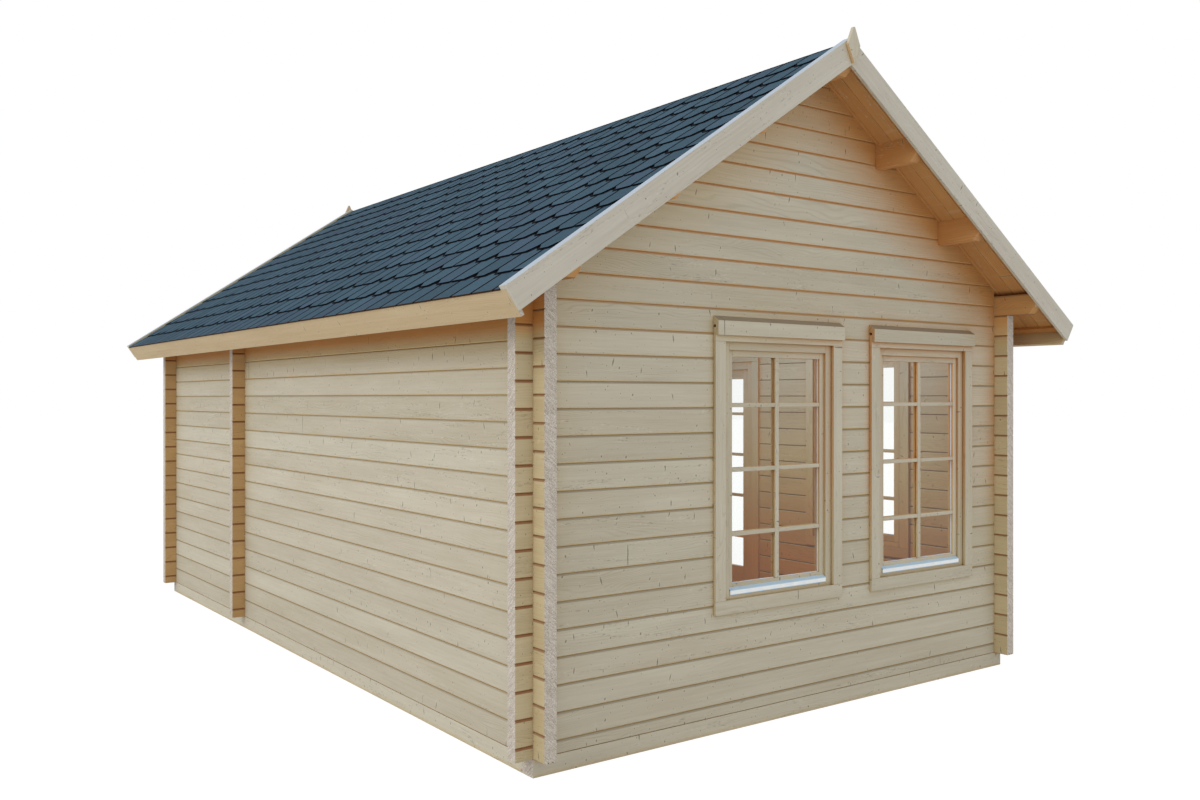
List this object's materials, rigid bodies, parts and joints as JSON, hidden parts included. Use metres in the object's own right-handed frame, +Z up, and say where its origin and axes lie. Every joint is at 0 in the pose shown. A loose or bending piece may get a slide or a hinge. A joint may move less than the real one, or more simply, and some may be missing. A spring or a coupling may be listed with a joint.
{
  "type": "log cabin",
  "caption": "Small log cabin of notched planed logs under a steep shingled gable roof, with casement style windows, a glazed door and an inner room behind a log partition.",
  "frame": {"origin": "middle of the plan at ground level, under the base beams", "axes": "+Z up, +Y along the ridge away from the gable with the windows, +X towards the long wall with the door"},
  "size_m": [4.5, 7, 3.8974],
  "materials": {
    "log_spruce": "planed, untreated",
    "base_timber": "planed, untreated",
    "floor_spruce": "planed, untreated",
    "roof_spruce": "planed, untreated",
    "edge_spruce": "planed, untreated",
    "roof_shingle": "slate granules, matte",
    "trim_spruce": "planed, untreated",
    "joinery_spruce": "planed, untreated",
    "pane_glass": "clear",
    "rail_aluminium": "satin",
    "zinc_steel": "zinc plated",
    "satin_steel": "satin"
  },
  "bodies": {
    "cabin": {"front_wall_logs": "log_spruce", "back_wall_logs": "log_spruce", "partition_logs": "log_spruce", "left_wall_logs": "log_spruce", "right_wall_logs": "log_spruce", "top_logs": "log_spruce", "front_base_beam": "base_timber", "back_base_beam": "base_timber", "partition_base_beam": "base_timber", "side_base_beams": "base_timber", "floor_joists": "base_timber", "front_room_floor": "floor_spruce", "back_room_floor": "floor_spruce", "side_purlins": "roof_spruce", "ridge_purlin": "roof_spruce", "left_roof_boards": "roof_spruce", "right_roof_boards": "roof_spruce", "fascia_battens": "roof_spruce", "edge_battens": "edge_spruce", "fascia_boards": "edge_spruce", "front_barge_boards": "edge_spruce", "back_barge_boards": "edge_spruce", "finials": "edge_spruce", "left_shingles": "roof_shingle", "right_shingles": "roof_shingle", "window_outer_casings": "trim_spruce", "window_inner_casings": "trim_spruce", "window_head_boards": "trim_spruce", "door_outer_casing": "trim_spruce", "door_inner_casing": "trim_spruce", "door_head_board": "trim_spruce", "doorway_lining": "trim_spruce", "doorway_casings": "trim_spruce", "window_frames": "joinery_spruce", "window_sashes": "joinery_spruce", "door_frame": "joinery_spruce", "door_sill": "joinery_spruce", "window_glass": "pane_glass", "window_rain_rails": "rail_aluminium", "door_hinge_pins": "zinc_steel"},
    "door": {"door_leaf": "joinery_spruce", "door_glass": "pane_glass", "door_hinge_barrels": "zinc_steel", "door_handles": "satin_steel"}
  },
  "joints": [
    {"name": "door_hinge", "type": "hinge", "parent": "cabin", "child": "door", "pos_m": [1.906, -0.7645, 1.09], "axis": [0, 0, -1], "range_deg": [0, 100]}
  ]
}
